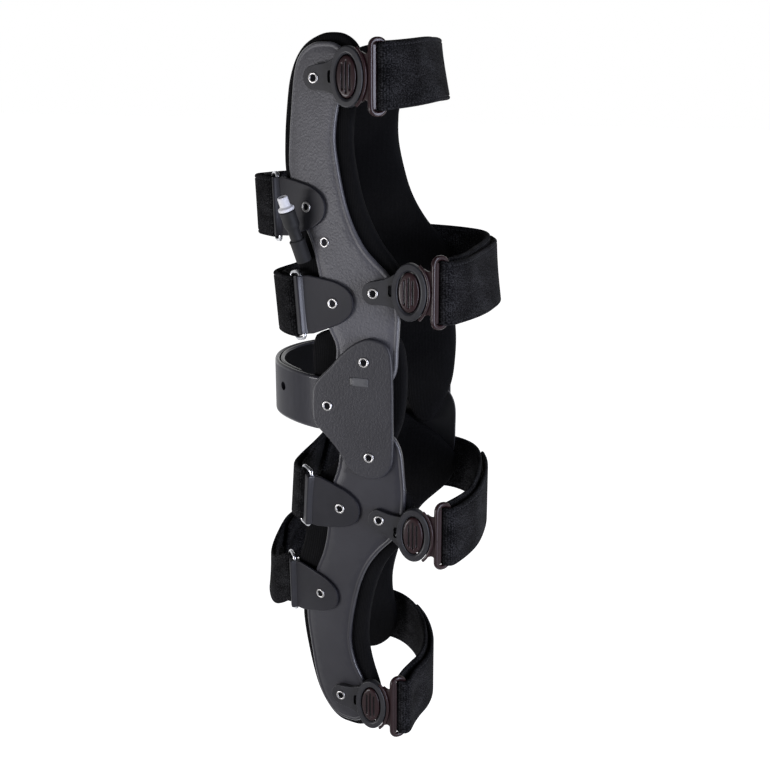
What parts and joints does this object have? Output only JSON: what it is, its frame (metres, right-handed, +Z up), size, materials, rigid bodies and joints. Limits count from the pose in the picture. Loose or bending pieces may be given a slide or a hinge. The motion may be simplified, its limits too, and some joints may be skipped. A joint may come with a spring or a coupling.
{
  "type": "hinged knee brace",
  "caption": "Double-upright hinged knee brace with padded thigh and calf plates, two-pivot hinges, front straps on wire rings and back straps on quick-release buckles.",
  "frame": {"origin": "knee centre on the leg's axis, midway between the near and far plates and between the two hinge levels", "axes": "+Z up along the leg to the thigh, +X to the back of the leg, +Y from the buckle side to the other side"},
  "size_m": [0.1563, 0.1255, 0.4455],
  "materials": {
    "grained_shell": "dark grey fine leather grain over a stiff shell, satin",
    "satin_shell": "smooth satin dark grey coat",
    "pad_felt": "near-black foam pad with brushed loop face and fine ribs",
    "strap_webbing": "near-black loop-pile strap",
    "socket_plastic": "dark grey moulded plastic, satin",
    "plug_plastic": "dark burgundy slightly translucent moulded plastic, glossy",
    "bracket_metal": "dark grey coated sheet metal, satin",
    "steel_wire": "bright steel wire",
    "nickel": "nickel-plated eyelet rivet",
    "gloss_band": "glossy black moulded strip with rounded edges",
    "valve_white": "white moulded nozzle",
    "valve_rubber": "dark grey matt rubber tube"
  },
  "bodies": {
    "thigh": {"thigh_lower_back_strap": "strap_webbing", "thigh_lower_bracket_far": "bracket_metal", "thigh_lower_bracket_near": "bracket_metal", "thigh_lower_front_strap": "strap_webbing", "thigh_lower_plug": "plug_plastic", "thigh_lower_ring_far": "steel_wire", "thigh_lower_ring_near": "steel_wire", "thigh_lower_socket": "socket_plastic", "thigh_pad_far": "pad_felt", "thigh_pad_near": "pad_felt", "thigh_plate_far": "grained_shell", "thigh_plate_near": "grained_shell", "thigh_upper_back_strap": "strap_webbing", "thigh_upper_bracket_far": "bracket_metal", "thigh_upper_bracket_near": "bracket_metal", "thigh_upper_front_strap": "strap_webbing", "thigh_upper_plug": "plug_plastic", "thigh_upper_ring_far": "steel_wire", "thigh_upper_ring_near": "steel_wire", "thigh_upper_socket": "socket_plastic", "valve_nozzle": "valve_white", "valve_tube": "valve_rubber"},
    "hinge_link": {"band_inner": "gloss_band", "band_outer": "gloss_band", "band_rivet_far": "nickel", "band_rivet_near": "nickel", "hinge_cover_far": "grained_shell", "hinge_cover_near": "grained_shell", "hinge_pad_far": "pad_felt", "hinge_pad_near": "pad_felt", "lower_pin_far": "nickel", "lower_pin_near": "nickel", "upper_pin_far": "nickel", "upper_pin_near": "nickel"},
    "calf": {"calf_lower_back_strap": "strap_webbing", "calf_lower_bracket_far": "bracket_metal", "calf_lower_bracket_near": "bracket_metal", "calf_lower_front_strap": "strap_webbing", "calf_lower_plug": "plug_plastic", "calf_lower_ring_far": "steel_wire", "calf_lower_ring_near": "steel_wire", "calf_lower_socket": "socket_plastic", "calf_pad_far": "pad_felt", "calf_pad_near": "pad_felt", "calf_plate_far": "satin_shell", "calf_plate_near": "satin_shell", "calf_upper_back_strap": "strap_webbing", "calf_upper_bracket_far": "bracket_metal", "calf_upper_bracket_near": "bracket_metal", "calf_upper_front_strap": "strap_webbing", "calf_upper_plug": "plug_plastic", "calf_upper_ring_far": "steel_wire", "calf_upper_ring_near": "steel_wire", "calf_upper_socket": "socket_plastic"}
  },
  "joints": [
    {"name": "upper_hinge", "type": "hinge", "parent": "thigh", "child": "hinge_link", "pos_m": [-0.0012, 0, 0.0291], "axis": [0, -1, 0], "range_deg": [0, 45]},
    {"name": "lower_hinge", "type": "hinge", "parent": "hinge_link", "child": "calf", "pos_m": [0.0018, 0, -0.0302], "axis": [0, -1, 0], "range_deg": [0, 45]}
  ]
}
